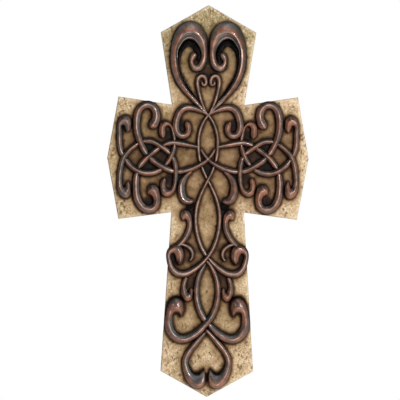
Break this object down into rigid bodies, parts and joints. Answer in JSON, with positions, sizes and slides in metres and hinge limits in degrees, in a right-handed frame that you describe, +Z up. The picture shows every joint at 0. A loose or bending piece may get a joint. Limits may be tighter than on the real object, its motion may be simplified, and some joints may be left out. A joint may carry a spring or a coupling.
{
  "type": "wall cross",
  "caption": "Wall cross with flared, pointed ends: a stone-look board faced with a bronze-finish casting of interlaced scrollwork and hearts, hung flat against a wall.",
  "frame": {"origin": "on the flat back of the board, where the arm axis crosses the post axis", "axes": "+Z up along the post, +Y out of the back towards the wall, +X to the viewer's right; the front faces -Y"},
  "size_m": [0.202, 0.0243, 0.393],
  "materials": {
    "stone_board": "matt, pitted, washed brown between the strands",
    "aged_bronze": "satin, dark bronze with copper rubbed on the crests"
  },
  "bodies": {
    "root": {"stone_backboard": "stone_board", "scrollwork": "aged_bronze"}
  },
  "joints": []
}
